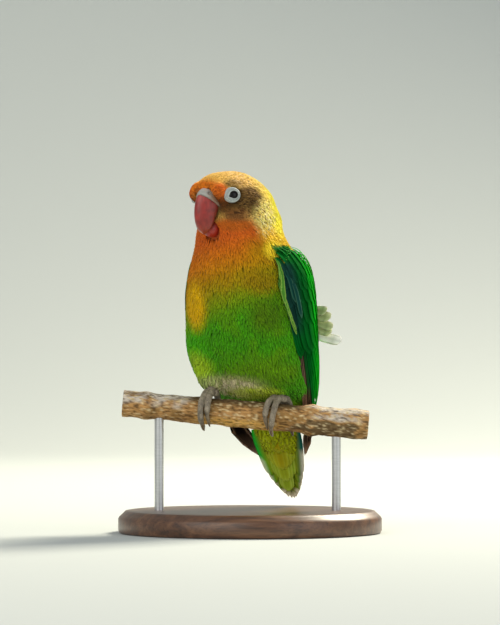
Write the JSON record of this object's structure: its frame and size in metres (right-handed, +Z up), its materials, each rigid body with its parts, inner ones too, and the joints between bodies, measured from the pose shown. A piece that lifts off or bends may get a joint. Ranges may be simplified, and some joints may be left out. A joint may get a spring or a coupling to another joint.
{
  "type": "fischer's lovebird",
  "caption": "Life-size lovebird with a white eye ring, perched upright on a cut length of branch, on a plain round display stand.",
  "frame": {"origin": "centre of the flat underside of the round base", "axes": "+Z up, the perch runs along X and drops a little towards +X, and the bird faces -Y, turned a little towards -X"},
  "size_m": [0.116, 0.116, 0.159],
  "materials": {
    "body_plumage": "soft, fine feathers",
    "neck_plumage": "soft, fine feathers",
    "head_plumage": "soft, fine feathers",
    "wing_plumage": "sleek, overlapping feathers",
    "tail_plumage": "sleek, overlapping feathers",
    "bill_horn": "satin horn",
    "bare_skin": "matt, finely wrinkled",
    "eye": "wet gloss",
    "foot_skin": "scaled, matt",
    "claw_horn": "satin horn",
    "branch": "dry bark",
    "stand_wood": "satin varnish",
    "stand_steel": "brushed"
  },
  "bodies": {
    "root": {"torso": "body_plumage", "neck": "neck_plumage", "head": "head_plumage", "thigh_right": "body_plumage", "thigh_left": "body_plumage", "wing_left": "wing_plumage", "wing_right": "wing_plumage", "tail": "tail_plumage", "upper_bill": "bill_horn", "lower_bill": "bill_horn", "cere": "bare_skin", "eye_ring_left": "bare_skin", "eye_ring_right": "bare_skin", "eye_left": "eye", "eye_right": "eye", "foot_right": "foot_skin", "foot_left": "foot_skin", "claw_right_front_outer": "claw_horn", "claw_right_front_inner": "claw_horn", "claw_right_back_outer": "claw_horn", "claw_right_back_inner": "claw_horn", "claw_left_front_outer": "claw_horn", "claw_left_front_inner": "claw_horn", "claw_left_back_outer": "claw_horn", "claw_left_back_inner": "claw_horn", "perch": "branch", "stand_base": "stand_wood", "stand_rod_left": "stand_steel", "stand_rod_right": "stand_steel"}
  },
  "joints": []
}
